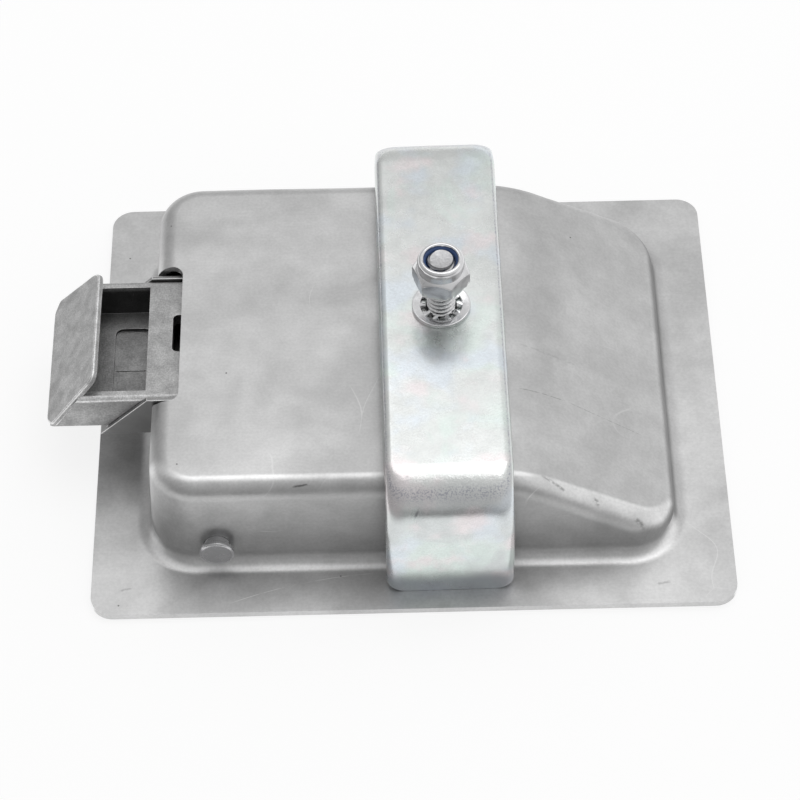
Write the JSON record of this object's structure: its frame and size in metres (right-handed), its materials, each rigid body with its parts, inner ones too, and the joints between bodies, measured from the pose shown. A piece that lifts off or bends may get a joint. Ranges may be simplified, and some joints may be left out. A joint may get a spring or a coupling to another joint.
{
  "type": "flush paddle latch",
  "caption": "Flush paddle latch for a door panel: drawn tray, pull paddle, ramped slam bolt, and a clamp strap held by a stud and lock nut.",
  "frame": {"origin": "middle of the flange, on the plane of its front face", "axes": "+Z from the front of the flange into the cabinet; -X the way the bolt points; +Y away from the head of the pivot pin"},
  "size_m": [0.15, 0.1174, 0.0485],
  "materials": {
    "stainless_sheet": "mill finish, faint rolling grain and scuffs",
    "zinc_plate": "bright zinc plate with a faint blue-green cast",
    "bright_steel": "bright stainless",
    "cast_steel": "fine grainy casting, satin",
    "pin_steel": "turned, satin",
    "pressed_steel": "plain pressed sheet",
    "spring_steel": "drawn wire",
    "blue_nylon": "satin",
    "white_nylon": "satin",
    "black_rubber": "matte",
    "rivet_steel": "satin"
  },
  "bodies": {
    "housing": {"tray": "stainless_sheet", "stud": "bright_steel", "bolt_guide": "pressed_steel", "rear_bracket": "pressed_steel", "spring_rod_near": "pin_steel", "spring_rod_far": "pin_steel", "bolt_spring_near": "spring_steel", "bolt_spring_far": "spring_steel", "pivot_pin": "pin_steel", "pin_clip": "spring_steel", "spacer_near": "white_nylon", "spacer_far": "white_nylon", "stop_pads": "black_rubber", "paddle_spring": "spring_steel"},
    "handle": {"paddle": "stainless_sheet", "pull_finger": "pressed_steel", "finger_rivets": "rivet_steel"},
    "bolt": {"latch_bolt": "cast_steel"},
    "clamp": {"clamp_bracket": "zinc_plate", "lock_washer": "bright_steel"},
    "nut_carrier": {"nylon_insert": "blue_nylon"},
    "nut": {"nut_shell": "bright_steel"}
  },
  "joints": [
    {"name": "paddle_hinge", "type": "hinge", "parent": "housing", "child": "handle", "pos_m": [-0.0423, 0, 0.008], "axis": [0, 1, 0], "range_deg": [0, 33], "stiffness_Nm_per_rad": 0.3, "springref_deg": -20.05, "deforming": ["paddle_spring"]},
    {"name": "bolt_slide", "type": "slide", "parent": "housing", "child": "bolt", "axis": [1, 0, 0], "range_m": [0, 0.0082], "stiffness_N_per_m": 400, "springref_m": -0.008, "deforming": ["bolt_spring_near", "bolt_spring_far"]},
    {"name": "clamp_slide", "type": "slide", "parent": "housing", "child": "clamp", "axis": [0, 0, 1], "range_m": [0, 0.003]},
    {"name": "nut_slide", "type": "slide", "parent": "housing", "child": "nut_carrier", "axis": [0, 0, 1], "range_m": [-0.0042, 0.0041]},
    {"name": "nut_turn", "type": "hinge", "parent": "nut_carrier", "child": "nut", "pos_m": [0.0074, 0, 0.041], "axis": [0, 0, 1], "range_deg": [-1190, 1134]}
  ],
  "couplings": [
    {"joint": "bolt_slide", "follows": "paddle_hinge", "m_per_rad": 0.014237},
    {"joint": "nut_slide", "follows": "nut_turn", "m_per_rad": 0.00020213}
  ]
}
